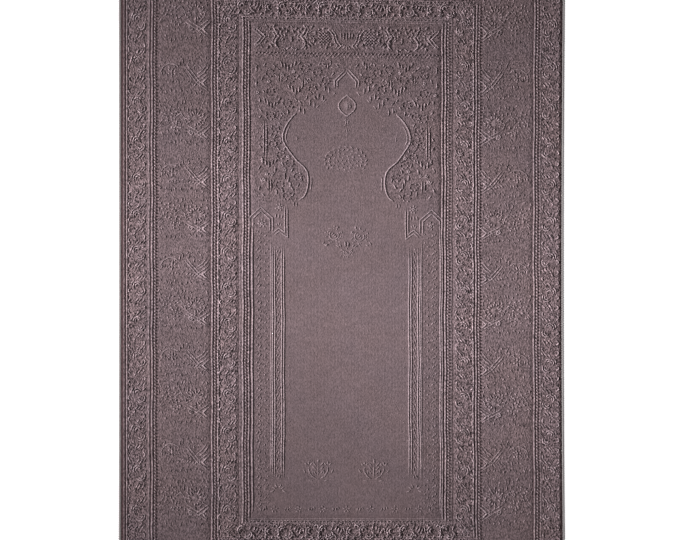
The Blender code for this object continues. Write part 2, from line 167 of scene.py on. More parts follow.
def polar(radius, turn):
    """A point at that distance, turned by degrees from straight up."""
    return -radius * math.sin(math.radians(turn)), radius * math.cos(math.radians(turn))


def arc(centre, radii, start, end, count):
    points = []
    for i in range(count + 1):
        angle = math.radians(start + (end - start) * i / count)
        points.append((centre[0] + radii[0] * math.cos(angle), centre[1] + radii[1] * math.sin(angle)))
    return points


def finer(points, step):
    """The same path with points no further apart than step."""
    path = [points[0]]
    for start, end in zip(points, points[1:]):
        count = max(1, math.ceil(math.dist(start, end) / step))
        for i in range(1, count + 1):
            share = i / count
            path.append((start[0] + (end[0] - start[0]) * share, start[1] + (end[1] - start[1]) * share))
    return path


def sideways(points, closed):
    """For each point of a path, the mitred step that is one millimetre to its left."""
    steps = []
    count = len(points)
    for i, point in enumerate(points):
        before = Vector(points[i - 1]) if closed or i else None
        after = Vector(points[(i + 1) % count]) if closed or i < count - 1 else None
        here = Vector(point)
        ahead = (after - here).normalized() if after else (here - before).normalized()
        behind = (here - before).normalized() if before else ahead
        both = ahead + behind
        if both.length < 0.3:
            both = ahead
        across = Vector((-both.y, both.x)).normalized()
        steps.append(across / max(0.5, across.dot(Vector((-ahead.y, ahead.x)))))
    return steps


def beside(points, distance):
    """The path that runs beside another, distance to its left."""
    steps = sideways(points, False)
    return [(x + step.x * distance, y + step.y * distance) for (x, y), step in zip(points, steps)]


# Raised shapes, gathered in a bmesh in millimetres above the pile


def make_petal(name, around, along, cut=0.5, bend=0.0):
    """A raised shape that is one wide, long and high: a ball cut flat, its poles at its two tips."""
    bm = bmesh.new()
    tip_up = Matrix.Rotation(math.radians(90), 4, "X")
    bmesh.ops.create_uvsphere(bm, u_segments=around, v_segments=along, radius=1, matrix=tip_up)
    geometry = bm.verts[:] + bm.edges[:] + bm.faces[:]
    bmesh.ops.bisect_plane(bm, geom=geometry, plane_co=(0, 0, cut), plane_no=(0, 0, 1), clear_inner=True)
    bmesh.ops.holes_fill(bm, edges=bm.edges[:])
    bmesh.ops.translate(bm, verts=bm.verts, vec=(0, 0, -cut))
    wide = math.sqrt(1 - cut * cut)
    bmesh.ops.scale(bm, verts=bm.verts, vec=(0.5 / wide, 0.5 / wide, 1 / (1 - cut)))
    for vert in bm.verts:
        vert.co.x += bend * (4 * vert.co.y**2 - 0.4)
    bmesh.ops.recalc_face_normals(bm, faces=bm.faces)
    mesh = bpy.data.meshes.new(name)
    bm.to_mesh(mesh)
    bm.free()
    return mesh


PETAL = make_petal("petal_shape", 8, 6)
HOOK = make_petal("hook_shape", 6, 8, bend=1.25)  # bent like a round bracket that opens to the right
DASH = make_petal("dash_shape", 6, 4, 0.4)


def add_mesh(bm, mesh, where):
    """Adds a mesh at a place and deletes it."""
    mesh.transform(where)
    if where.is_negative:
        mesh.flip_normals()
    bm.from_mesh(mesh)
    bpy.data.meshes.remove(mesh)


def add_part(bm, part, where):
    """Adds another bmesh at a place and frees it."""
    mesh = bpy.data.meshes.new("part")
    part.to_mesh(mesh)
    part.free()
    add_mesh(bm, mesh, where)


def stroke(bm, place, x, y, turn, length, width=STROKE, height=STROKE_RISE, shape=PETAL):
    """One raised stroke of the pattern, centred on x, y of its motif."""
    spin = Matrix.Rotation(math.radians(turn), 4, "Z")
    size = Matrix.Diagonal((width, length, height + SINK, 1))
    add_mesh(bm, shape.copy(), place @ Matrix.Translation((x, y, -SINK)) @ spin @ size)


def strokes(bm, place, chart, width=STROKE, height=STROKE_RISE, shape=PETAL):
    """Strokes from a chart of x, y, turn and length."""
    for x, y, turn, length in chart:
        stroke(bm, place, x, y, turn + chance.uniform(-4, 4), vary(length), width, height, shape)


def ribbon(bm, place, points, width=CORD, height=CORD_RISE, closed=False, step=9.0):
    """A raised line along points, half round, tapered where it ends."""
    points = finer(points + points[:1] if closed else points, step)
    if closed:
        points = points[:-1]
    steps = sideways(points, closed)
    count = len(points)
    columns = count if closed else count - 1
    section = ((0.5, -SINK), (0.33, height * 0.72), (0.0, height), (-0.33, height * 0.72), (-0.5, -SINK))
    rows = len(section)
    line = bmesh.new()
    made = bmesh.ops.create_grid(line, x_segments=columns, y_segments=rows, size=1)["verts"]
    for number, vert in enumerate(made):
        row, column = divmod(number, columns + 1)
        i = column % count
        side, up = section[row % rows]
        taper = 1.0 if closed or 0 < i < count - 1 else 0.35
        along = Vector(points[i]) + steps[i] * (side * width * taper)
        vert.co = (along.x, along.y, -SINK + (up + SINK) * taper)
    bmesh.ops.remove_doubles(line, verts=made, dist=0.01)
    add_part(bm, line, place)


def double_ribbon(bm, place, points, gap, width=THIN, height=CORD_RISE):
    for side in (0.5, -0.5):
        ribbon(bm, place, beside(points, gap * side), width, height)


def curls(bm, place, chart, width=THIN, height=STROKE_RISE):
    """Curved lines from a chart of x, y, radius and the angles where they start and end."""
    for x, y, radius, start, end in chart:
        count = max(3, round((end - start) / 40))
        ribbon(bm, place, arc((x, y), (radius, radius), start, end, count), width, height)


def close_up(bm):
    """Closes a shape's open ends and turns its faces outwards."""
    bmesh.ops.holes_fill(bm, edges=[edge for edge in bm.edges if edge.is_boundary])
    bmesh.ops.recalc_face_normals(bm, faces=bm.faces)


def finish_relief(name, bm, material, base=GROUND):
    """Ends a raised piece: closed, with the cloth's drift, in metres."""
    close_up(bm)
    for vert in bm.verts:
        x, y = drift(vert.co.x, vert.co.y)
        vert.co = (x * MM, y * MM, (base + vert.co.z * RELIEF) * MM)
    return finish_piece(name, bm, material)


def grain_at(x, y):
    """How coarse the pile's grain is: least inside the niche, most in the guard bands."""
    for band in (OUTER_GUARD, INNER_GUARD):
        outside = max(band.left - x, x - band.right, abs(y) - band.half_height)
        if abs(outside) < band.width / 2:
            return GUARD_GRAIN
    niche = FRAMES[-1]
    if not (niche.left < x < niche.right and abs(y) < niche.half_height):
        return BORDER_GRAIN
    if y > PANEL_FOOT:
        return PANEL_GRAIN
    aside = abs(x - FIELD_CENTRE)
    if y > ARCH_FOOT:
        return ARCHED_GRAIN + SPANDREL_GRAIN * smooth_step(aside - arch_edge(y), -2, 6)
    return FIELD_GRAIN + STRIP_GRAIN * smooth_step(aside, 118, 122)


def finish_piece(name, bm, material, slot="pile"):
    mesh = bpy.data.meshes.new(name)
    bm.to_mesh(mesh)
    bm.free()
    if slot == "pile":
        grain = mesh.attributes.new("grain", "FLOAT", "POINT")
        for vert, value in zip(mesh.vertices, grain.data):
            value.value = grain_at(vert.co.x / MM, vert.co.y / MM)
    mesh.shade_smooth()
    mesh.materials.append(material)
    piece = bpy.data.objects.new(name, mesh)
    bpy.context.scene.collection.objects.link(piece)
    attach(piece, "root")
    return piece


# Small motifs


def vary(value, share=0.08):
    return value * (1 + chance.uniform(-share, share))


def dots(bm, place, chart, size=3.0, height=1.4):
    for x, y in chart:
        stroke(bm, place, x, y, 0, vary(size, 0.15), vary(size, 0.15), height, DASH)


def ring_of_petals(count, radius, ragged=0.0, loose=0.0):
    """For each petal round a flower its turn, x and y, a little ragged in turn and in reach."""
    for i in range(count):
        turn = 360 * i / count + (chance.uniform(-ragged, ragged) if ragged else 0.0)
        x, y = polar(vary(radius, loose) if loose else radius, turn)
        yield turn, x, y


def flower(bm, place, radius, petals):
    """An open flower of separate petals round a small raised ring."""
    for turn, x, y in ring_of_petals(petals, radius * 0.7, 8, 0.08):
        stroke(bm, place, x, y, turn, vary(radius * 0.58, 0.15), min(STROKE, radius * 0.45))
    ring = arc((0, 0), (radius * 0.26, radius * 0.26), 0, 300, 5)
    ribbon(bm, place, ring, FINE, 1.3, closed=True, step=3)


def round_flower(bm, place, radius):
    """A small round flower: a ring about a dot, in five short petals."""
    points = arc((0, 0), (radius * 0.55, radius * 0.55), 0, 315, 7)
    ribbon(bm, place, points, FINE, 1.4, closed=True)
    dots(bm, place, ((0, 0),), 2.2)
    for turn, x, y in ring_of_petals(5, radius * 1.05, 12):
        stroke(bm, place, x, y, turn, radius * 0.5, THIN, 1.3, DASH)


def fan(bm, place, radius, petals, spread):
    """Petals spread upwards from one foot."""
    for i in range(petals):
        turn = spread * (i / (petals - 1) - 0.5)
        x, y = polar(vary(radius * 0.62), turn)
        stroke(bm, place, x, y, turn, vary(radius * 0.66, 0.12), min(STROKE, radius * 0.34))


def bud(bm, place, radius):
    """A closed bud: an oval ring about one stroke."""
    ribbon(bm, place, arc((0, 0), (radius * 0.68, radius), 0, 324, 9), THIN, CORD_RISE, closed=True)
    stroke(bm, place, 0, 0, 0, radius * 1.1, FINE, 1.2)


def sprig(bm, place, length, pairs):
    """A stem with leaves in pairs."""
    ribbon(bm, place, [(0, 0), (0, length * 0.8)], FINE, FINE_RISE)
    for i in range(pairs):
        up = length * (0.3 + 0.42 * i / (pairs - 1))
        for side in (1, -1):
            stroke(bm, place, side * length * 0.2, up + 1.5, -42 * side, length * 0.36, THIN)
    stroke(bm, place, 0, length * 0.92, 0, length * 0.34)


def hatch(bm, place, x, y, count, pitch, turn, length, slope=0.0):
    """A row of slanted strokes side by side."""
    for i in range(count):
        shift = (i - (count - 1) / 2) * pitch
        stroke(bm, place, x + shift, y + shift * slope, turn, vary(length, 0.12), THIN)


# The cloth


def swell(distance, half):
    return 0.5 + 0.5 * math.cos(math.pi * distance / half) if abs(distance) < half else 0.0


def outwards(border, x, y):
    """How far x, y lies outside a frame's line, counted in the frame's upright widths."""
    return max(border.left - x, x - border.right, (abs(y) - border.half_height) / END_SHRINK)


def kept_rise(place, rise, x, across):
    """The share of its rise that a frame's line keeps: less across the rug and under a rope's twist."""
    if across:
        return BAR_SHARE
    twisted = abs(place) == TWIST and rise > 0 and place * x > 0
    return TWIST_BED if twisted else 1.0


def pile_height(x, y):
    height = GROUND
    for border in FRAMES:
        out = outwards(border, x, y)
        if abs(out) < PROFILE_REACH:
            across = (abs(y) - border.half_height) / END_SHRINK > out - 0.5
            for place, half, rise in border.profile:
                height += rise * swell(out - place, half) * kept_rise(place, rise, x, across)
    left, right, end = HALF_WIDTH + x, HALF_WIDTH - x, HALF_LENGTH - abs(y)
    for inwards, profile in ((left, LEFT_EDGE), (right, PLAIN_EDGE), (end, PLAIN_EDGE)):
        height += sum(rise * swell(inwards - place, half) for place, half, rise in profile)
    nearest = min(left, right, end)
    return EDGE_TOP + (height - EDGE_TOP) * smooth_step(nearest, RIM_ENDS, FULL_PILE)


def grid_lines(low, high, frame_lines):
    """Places for the cloth's grid, close together on each ridge, groove and furrow."""
    lines = {low, high}
    for line, outward, shrink, profile in frame_lines:
        for place, half, _ in profile:
            lines |= {line + outward * shrink * (place + half * part) for part in (-1, -0.55, 0, 0.55, 1)}
    places = [low]
    for line in sorted(lines):
        if not low < line <= high:
            continue
        gap = line - places[-1]
        if gap < 0.4 and line < high:
            continue
        parts = math.ceil(gap / PLAIN_STEP)
        start = places[-1]
        places += [start + gap * (i + 1) / parts for i in range(parts)]
    return places


def cloth_lines():
    uprights = [(-HALF_WIDTH, 1, 1, LEFT_EDGE), (HALF_WIDTH, -1, 1, PLAIN_EDGE)]
    bars = [(HALF_LENGTH * side, -side, 1, PLAIN_EDGE) for side in (1, -1)]
    for border in FRAMES:
        uprights += [(border.left, -1, 1, border.profile), (border.right, 1, 1, border.profile)]
        bars += [(border.half_height * side, side, END_SHRINK, border.profile) for side in (1, -1)]
    side, length = HALF_WIDTH - EDGE_INSIDE, HALF_LENGTH - EDGE_INSIDE
    return grid_lines(-side, side, uprights), grid_lines(-length, length, bars)


def make_cloth(material):
    """The cloth in one piece: pile with its ropes and grooves above, thin edge, flat underside."""
    across, along = cloth_lines()
    bm = bmesh.new()
    grid = bmesh.ops.create_grid(bm, x_segments=len(across) - 1, y_segments=len(along) - 1, size=1)
    for number, vert in enumerate(grid["verts"]):
        row, column = divmod(number, len(across))
        x, y = across[column], along[row]
        vert.co = (x, y, pile_height(x, y))
    for inset, height in ((0.0, EDGE_BOTTOM), (UNDERSIDE_LIP - EDGE_INSIDE, 0.0)):
        rim = [edge for edge in bm.edges if edge.is_boundary]
        ring = bmesh.ops.extrude_edge_only(bm, edges=rim)["geom"]
        for vert in [item for item in ring if isinstance(item, bmesh.types.BMVert)]:
            x_stop = HALF_WIDTH - EDGE_INSIDE - inset
            y_stop = HALF_LENGTH - EDGE_INSIDE - inset
            x = max(-x_stop, min(x_stop, vert.co.x))
            y = max(-y_stop, min(y_stop, vert.co.y))
            vert.co = (x, y, height)
    bmesh.ops.remove_doubles(bm, verts=[vert for vert in bm.verts if vert.is_boundary], dist=0.01)
    bmesh.ops.contextual_create(bm, geom=[edge for edge in bm.edges if edge.is_boundary])
    bmesh.ops.recalc_face_normals(bm, faces=bm.faces)
    for vert in bm.verts:
        x, y = drift(vert.co.x, vert.co.y)
        vert.co = (x * MM, y * MM, vert.co.z * MM)
    piece = finish_piece("rug_cloth", bm, material)
    for face in piece.data.polygons:
        if face.normal.z < -0.9:
            face.use_smooth = False
    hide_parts("rug_body")
    return piece


def make_rope_twists(material):
    """The twisted yarn of every rope, and the slanted yarn of the ropes across the rug."""
    bm = bmesh.new()
    for border in FRAMES:
        if border.profile in (LINE, FAINT_LINE):
            continue
        for i in range(int(2 * border.half_height / TWIST_PITCH)):
            y = -border.half_height + TWIST_PITCH * (i + 0.5)
            for x in (border.left, border.right):
                stroke(bm, at(x + TWIST - 0.2, y), 0, 0, 50, 5.0, width=2.6, height=4.0)
        for i in range(int((border.right - border.left) / CROSS_PITCH)):
            x = border.left + CROSS_PITCH * (i + 0.5)
            for side in (1, -1):
                place = at(x, border.half_height * side)
                stroke(bm, place, 0, 0, -42, 6.0, width=2.3, height=2.6, shape=DASH)
    return finish_relief("rope_twists", bm, material, GROUND - TWIST_SINK)


# The borders


def add_crossing(bm, place, lead):
    """What every row has: two doubled stems that cross, and a chevron between them and the rope."""
    double_ribbon(bm, place, [lead, (25, -4), (42, -15)], 4.2, FINE, 1.0)
    double_ribbon(bm, place, [(19, -10), (25, -4), (44, 9)], 4.2, FINE, 1.0)
    ribbon(bm, place, [(39.5, 3.5), (31, -4.5), (39, -12.5)], 2.6, 1.5)
    dots(bm, place, ((36, -4),))
    for i, x in enumerate((-27, -19, -13, -3, 5, 12, 20, 29)):
        turn, high = chance.uniform(-35, 35), chance.uniform(-21, -14)
        stroke(bm, place, x, high, turn, vary(6, 0.2), THIN, 1.4, HOOK if i % 2 else PETAL)


def ring_of_pips(bm, place, radius, count=9):
    """A flower that shows only as small pips round its middle."""
    for ring, reach in ((count, radius), (count - 4, radius * 0.52)):
        for turn, x, y in ring_of_petals(ring, reach, 12, 0.1):
            stroke(bm, place, x, y, turn + chance.uniform(-30, 30), vary(4.2, 0.2), 2.5, 1.7)
    dots(bm, place, ((0, 0),), 2.8)


def main_unit_of_flowers(bm, place):
    """Odd rows: a flower, a domed blossom and a bud over the crossed stems, with small leaves between."""
    add_crossing(bm, place, (4, 7))
    ring_of_pips(bm, place @ at(-22, 25), 11)
    ring_of_pips(bm, place @ at(-11, 7), 7, 7)
    blossom = place @ at(19, 18.5)
    stroke(bm, blossom, 0, 0, 0, 14, width=12, height=0.45)
    for radius, count, length in ((9.3, 13, 6.5), (14.2, 11, 4.5)):
        for i in range(count):
            turn = 300 * i / (count - 1) - 180
            x, y = polar(vary(radius, 0.04), turn)
            lean = turn + chance.uniform(-8, 8)
            stroke(bm, blossom, x, y, lean, vary(length, 0.15), width=2.2, height=1.8)
    bud(bm, place @ at(12, -3, 30), 3.6)
    hooks = (
        (-9, 41, -8, 9), (-3, 42, 172, 9), (9, 21, 8, 10), (33, 16, 168, 9), (5, 13, 0, 8),
        (-21, 12, -50, 7), (37, 29, 172, 9), (-38, 27, 0, 8), (-2, 23, 30, 7), (-12, 24, -20, 7),
        (-31, 6, -70, 7), (1, 33, 0, 9),
    )
    strokes(bm, place, hooks, THIN, STROKE_RISE, HOOK)
    leaves = (
        (2, 43, -25, 8), (-6, 33, 20, 8), (7, 31, 4, 9), (-1, 16, 55, 7), (-27, 15, -45, 8),
        (-33, 16, 0, 6), (-18, 4, -72, 6), (-4, 4, -55, 7), (31, 22, -35, 8), (36, 20, -35, 8),
        (13, 22, -35, 7), (28, 8, -40, 7), (17, -9, 50, 6), (27, -12, -40, 6), (-36, 37, 15, 7),
        (-38, 44, -20, 7), (37, 42, 20, 7), (-33, -5, 30, 6), (11, 42, 20, 7), (31, 43, -25, 7),
        (-14, -4, 30, 6), (-7, -6, -30, 5), (-24, -1, 40, 5), (-16, 46, 40, 6),
    )
    strokes(bm, place, leaves, THIN)
    double_ribbon(bm, place, [(-41, 4), (-32, 12)], 3.4, FINE, FINE_RISE)
    ribbon(bm, place, [(-14, 19), (-4, 27), (2, 20), (5, 9)], FINE, FINE_RISE)
    knots = ((-8, 28), (13, 37), (-38, -2), (36, 35), (20, 47), (-28, 47), (3, 2), (-30, 22), (29, 36))
    dots(bm, place, knots)


def main_unit_of_chevrons(bm, place):
    """Even rows: stems and hooked leaves above the crossing, with a small flower beside them."""
    add_crossing(bm, place, (4, 21))
    double_ribbon(bm, place, [(22, 5), (32, 12), (41, 24)], 4.4, FINE, 1.1)
    hatch(bm, place, 14, -5, 4, 4.3, -42, 7.5, -0.25)
    hooks = (
        (-4, 23, 0, 10), (0.5, 27, 0, 10), (9, 26, 180, 9), (7, 6, 40, 9), (-16, -3, 0, 7),
        (-8, -4, 180, 7), (27, 20, 60, 8), (-24, 6, 20, 7), (18, 18, -20, 8), (33, 2, 60, 6),
    )
    strokes(bm, place, hooks, THIN, STROKE_RISE, HOOK)
    leaves = (
        (12, 3, 40, 8), (-33, 8, -10, 8), (-29, 9, -10, 8), (-21, 17, 30, 7), (-12, 19, -30, 7),
        (36, 14, -30, 7), (-11.5, -3, -30, 5), (16, 25, 45, 6), (-5, 8, 40, 7), (-22, -4, -60, 6),
        (31, -20, -35, 7), (-36, -14, 20, 6), (-36, 20, 35, 6), (-29, 24, -35, 6), (28, 28, 20, 6),
        (-2, 30, 30, 6), (7, 31, -30, 6), (0, -1, -50, 6),
    )
    strokes(bm, place, leaves, THIN)
    ring_of_pips(bm, place @ at(-17, 10), 5.5, 6)
    ribbon(bm, place, [(-4, 16), (-12, 22), (-22, 23), (-31, 17), (-36, 8)], FINE, FINE_RISE)
    knots = ((-34, 30), (-20, 28), (14, 32), (36, 32), (24, 33), (-37, 3), (-10, 30), (2, 12))
    dots(bm, place, knots, 2.6)


def make_main_border(material):
    bm = bmesh.new()
    band = MAIN_BORDER
    for row in range(-band.last_row, band.last_row + 1):
        unit = main_unit_of_flowers if row % 2 else main_unit_of_chevrons
        stretch = row_stretch(row, 1, MAIN_PITCH)
        for x, side in ((band.left, 1), (band.right, -1)):
            unit(bm, at(x, row_height(row), mirror=side, stretch=stretch))
    pitch = (band.right - band.left) / (MAIN_COLUMNS + 1)
    for column in range(1, MAIN_COLUMNS + 1):
        unit = main_unit_of_flowers if column % 2 else main_unit_of_chevrons
        for side in (1, -1):
            place = at(band.left + pitch * column, band.half_height * side, -90 * side)
            unit(bm, place @ Matrix.Diagonal((END_SHRINK, 1, 1, 1)))
    for x in (band.left, band.right):
        for side in (1, -1):
            corner = at(x, band.half_height * side, stretch=END_SHRINK)
            flower(bm, corner, 21, 10)
            flower(bm, corner, 11, 8)
    return finish_relief("main_border", bm, material)


def guard_unit(bm, place):
    """One wave of a guard band: an S-shaped scroll of nested curls, with slanted leaves at both ends."""
    scroll = (
        (0.5, 4.3, 7, 20, 230), (0.5, 4.3, 3.4, 0, 220), (0.5, 4.3, 10.4, 115, 195),
        (5, -4.3, 7, -150, 50), (5, -4.3, 3.4, 180, 400),
    )
    curls(bm, place, scroll, width=1.9, height=1.5)
    tendrils = (
        (-11, -4, 3, 60, 290), (-10, 21, 4, 100, 280), (-10.5, -21, 3.2, 60, 290), (9, 27, 3.2, -90, 90),
    )
    curls(bm, place, tendrils, width=1.8, height=1.4)
    leaves = (
        (1, 18, -38, 11), (6, 17.5, -38, 14), (11, 18.5, -34, 10), (-1, -19.5, -40, 11),
        (4, -19.5, -40, 14), (9, -20.5, -38, 10), (-4, -26, -40, 7), (9.5, 9.5, -50, 7),
    )
    strokes(bm, place, leaves, width=2.0, height=1.6)
    knots = ((-12.5, 8), (-13.5, 14), (-3.5, 26), (13, 3), (-6, -13), (13.5, -11), (-13, 28))
    dots(bm, place, knots, 2.4, 1.6)


# The guard bands across the rug: three kinds of spray, each with its curls and its leaves
SPRAY_CURLS = (
    ((-4, 3, 7, 40, 230), (-4, 3, 3.4, 0, 230), (4, -4, 7, -150, 60), (4, -4, 3.4, 170, 400)),
    (),
    ((-3, 1, 7.4, 90, 260), (-3, 1, 3.6, 60, 300), (6, -3, 5, -90, 90), (6, 8, 3, -60, 200)),
)
SPRAY_LEAVES = (
    ((9, 6, -25, 9), (-9, -8, -20, 9), (12, -5, 12, 7)),
    (
        (-6, 5, -24, 9), (-2, 3, -22, 13), (2.4, 1, -20, 13), (7, 3, 18, 10), (-7, -6, 35, 9),
        (5, -9, -40, 8),
    ),
    ((0, -9, -25, 8), (10, -9, 20, 8), (-10, -6, -12, 9)),
)


def add_spray(bm, place, kind):
    """A pair of curls with their leaves, or a bunch of upright leaves."""
    curls(bm, place, SPRAY_CURLS[kind], width=2.4, height=2.5)
    width, height = (2.3, 2.3) if SPRAY_CURLS[kind] else (2.4, 2.5)
    strokes(bm, place, SPRAY_LEAVES[kind], width, height)
    dots(bm, place, ((-11, 9), (1, 11), (11.5, -8), (-3, -12), (11, 11)), 2.6, 1.9)


def add_guard(bm, band):
    rows = int(2 * band.last_row) + 1
    for i in range(rows):
        row = (i - band.last_row) * GUARD_ROW
        stretch = row_stretch(row, GUARD_ROW, GUARD_PITCH)
        for x, side in ((band.left, 1), (band.right, -1)):
            guard_unit(bm, at(x, row_height(row), mirror=side, stretch=stretch))
    span = band.right - band.left - band.width
    count = int(span / SPRAY_PITCH)
    for i in range(count):
        x = band.left + band.width / 2 + span * (i + 0.5) / count
        for side in (1, -1):
            add_spray(bm, at(x, band.half_height * side, chance.uniform(-6, 6)), i % len(SPRAY_CURLS))
    for x in (band.left, band.right):
        for side in (1, -1):
            flower(bm, at(x, band.half_height * side, stretch=END_SHRINK), 11, 8)


def make_guards(material):
    bm = bmesh.new()
    add_guard(bm, OUTER_GUARD)
    add_guard(bm, INNER_GUARD)
    return finish_relief("guard_bands", bm, material)


# The niche

CROWN = [(0.0, 316.0), (17.0, 298.0), (16.0, 286.0)]
SLOPE = ((31, 285), (41, 272.5), (54, 262), (70, 251))
LOBE = [(78, 247), (85, 241), (92, 232.5), (97.5, 223), (100.6, 213), (100.6, 204), (95.7, 194.5)]
CUSP = [
    (87, 182.5), (78, 171), (67, 162), (62, 154.5), (60.3, 146), (59.8, 138), (60.7, 130.5), (62.5, 122.5),
]
COLUMN_MIDDLE, COLUMN_LOW, COLUMN_HIGH, COLUMN_BASE = 107.2, -330.0, 38.0, -344.0
STRIP_MIDDLE, STRIP_LOW = 133.0, -387.0
BRAID_PITCH, DOT_PITCH, LEAF_PITCH = 12.6, 14.6, 13.7


def add_arch(bm, side):
    """One half of the arch: a pointed crown, a slope of paired strokes, a round lobe and a cusp."""
    place = in_field(mirror=side)
    double_ribbon(bm, place, CROWN, 4.2, 2.2, 1.4)
    for x, y in SLOPE:
        stroke(bm, place, x + 3.4, y + 1.6, 0, 12.5, 2.6, 1.7)
        stroke(bm, place, x - 3.4, y - 1.6, 0, 12.5, 2.4, 1.6)
    strokes(bm, place, ((19, 278, 40, 9), (34.7, 267, 40, 10), (45, 257.5, 42, 9), (77, 253, 36, 10)))
    ribbon(bm, place, LOBE + CUSP + [(66.5, 115), (75, 109.5)], CORD, 1.5, step=ARCH_STEP)
    ribbon(bm, place, beside(LOBE[2:], -4.8), FINE, FINE_RISE, step=ARCH_STEP)
    ribbon(bm, place, [(55.5, 149), (55, 137), (56, 124)], FINE, FINE_RISE, step=ARCH_STEP)
    for x in (78.6, 83.2):
        stroke(bm, place, x, 103, 0, 10, THIN)
    stroke(bm, place, 78, 207, 0, 8, THIN, 1.2)


def add_column(bm, side):
    """A column: two doubled uprights with a braid between them, a notched capital and a base."""
    place = in_field(side * COLUMN_MIDDLE, mirror=side)
    for edge in (-8.9, -5.3, 5.3, 8.9):
        ribbon(bm, place, [(edge, COLUMN_LOW), (edge, COLUMN_HIGH)], 2.3, 1.3, step=STRAIGHT_STEP)
    y = COLUMN_LOW + 5
    while y < COLUMN_HIGH - 4:
        stroke(bm, place, -1.8, y, 20, 7.0, THIN)
        stroke(bm, place, 2.0, y + 1.4, 20, 7.0, THIN)
        stroke(bm, place, 0.2, y + 7.2, -28, 5.5, THIN, 1.1)
        y += BRAID_PITCH
    base = in_field(side * COLUMN_MIDDLE, COLUMN_BASE, mirror=side)
    for turn in (-62, -28, 28, 62):
        x, up = polar(7.5, turn)
        stroke(bm, base, x, up - 2, turn, 8)
    for turn in (112, -112):
        x, up = polar(10, turn)
        stroke(bm, base, x, up, turn, 9)
    capital = in_field(mirror=side)
    double_ribbon(bm, capital, [(95.3, 101), (95.3, 54.5), (106.5, 62.5), (116, 55)], 4.2)
    hatch(bm, capital, 106.5, 84, 3, 5, 12, 9)
    flower(bm, capital @ at(105.5, 98), 7.5, 7)
    fan(bm, capital @ at(106.5, 66), 9, 3, 70)
    y = COLUMN_HIGH - 14
    while y > COLUMN_LOW:
        dots(bm, capital, ((90, y),), 2.2, 0.9)
        y -= DOT_PITCH


def add_strip(bm, side):
    """The narrow gabled strip beside a column, with slanted leaves and dots."""
    place = in_field(mirror=side)
    gable = [(118.5, 56), (118.5, 80), (134.5, 94.5), (149.5, 80.5), (149.5, 62)]
    double_ribbon(bm, place, gable, 4.8, THIN, 1.1)
    ribbon(bm, place, [(147.8, 72), (147.8, STRIP_LOW)], 2.6, 1.5, step=STRAIGHT_STEP)
    ribbon(bm, place, [(118.6, 56), (118.6, COLUMN_LOW)], FINE, 0.8, step=STRAIGHT_STEP)
    flower(bm, place @ at(STRIP_MIDDLE, 72), 7.5, 7)
    turn = -38 * side
    y = 56.0
    while y > STRIP_LOW + 8:
        leaf = place @ at(STRIP_MIDDLE, y)
        stroke(bm, leaf, 3, 0, turn, vary(7.5), THIN)
        stroke(bm, leaf, 7, 2.5, turn, vary(6.5), THIN)
        stroke(bm, leaf, 4, -6.5, -turn, 4.5, THIN, 1.2, DASH)
        stroke(bm, leaf, -5, -3, turn, vary(4.5, 0.2), THIN, 1.3)
        dots(bm, leaf, ((-9.5, 3),), 2.4)
        y -= LEAF_PITCH


def make_niche(material):
    bm = bmesh.new()
    for side in (1, -1):
        add_arch(bm, side)
        add_column(bm, side)
        add_strip(bm, side)
    return finish_relief("niche_frame", bm, material)


def add_medallion(bm):
    """The hanging medallion: a pointed oval about a low dome, on its chain."""
    place = in_field(1, 259.5)
    half = [(0, 16.5), (9, 9), (13, 3.5), (13, -3.5), (9, -9.5), (0, -16.5)]
    other_half = [(-x, y) for x, y in half[-2:0:-1]]
    ribbon(bm, place, half + other_half, CORD, 1.15, closed=True)
    stroke(bm, place, 0.5, 0, 0, 19, width=16, height=0.6)
    strokes(bm, place, ((0.5, 0, 0, 15), (5, -1, 8, 8)), THIN, 1.5)
    double_ribbon(bm, place, [(0, -18), (0, -34)], 3, 1.7, 1.2)
    ribbon(bm, place, [(0, -34), (0, -50)], 1.6, 1.0)
    for y in (-23, -31, -39):
        for side in (1, -1):
            stroke(bm, place, 3.4 * side, y, 24 * side, 5, 1.7, 0.8)


def add_garland(bm):
    """A faint oval garland under the medallion, filled with small slanted leaves."""
    place = in_field(-2, 172)
    for i in range(15):
        turn = -119 + 17 * i
        for radius, shift, lean, length in ((24, 0, 60, 6.5), (19, 8, -50, 5.5)):
            x, y = polar(radius, turn + shift)
            stroke(bm, place, x * 1.35, y * 0.95, turn + lean, vary(length), 2.1, 1.45)
    leaves = 30
    for i in range(leaves):
        x, y = polar(15.5 * math.sqrt((i + 0.5) / leaves), 137.5 * i)
        stroke(bm, place, x * 1.4, y - 2, 40 if i % 3 else -40, vary(5, 0.2), 1.9, 1.2)


def add_rose(bm, place, radius, petals):
    """A full flower: slanted strokes in a ring, with ragged petals round it."""
    for i in (-1, 0, 1):
        length = radius * (1.0 - 0.25 * abs(i))
        stroke(bm, place, i * radius * 0.3, -i * radius * 0.27, -42, length, 1.9, 1.3)
    curls(bm, place, ((0, 0, radius * 0.92, 110, 410),), 1.7, 0.95)
    for ring, lean in ((radius * 1.3, 70), (radius * 1.7, 30)):
        for turn, x, y in ring_of_petals(petals, ring, 12, 0.08):
            stroke(bm, place, x, y, turn + lean, vary(4.5, 0.2), 1.8, 1.15)


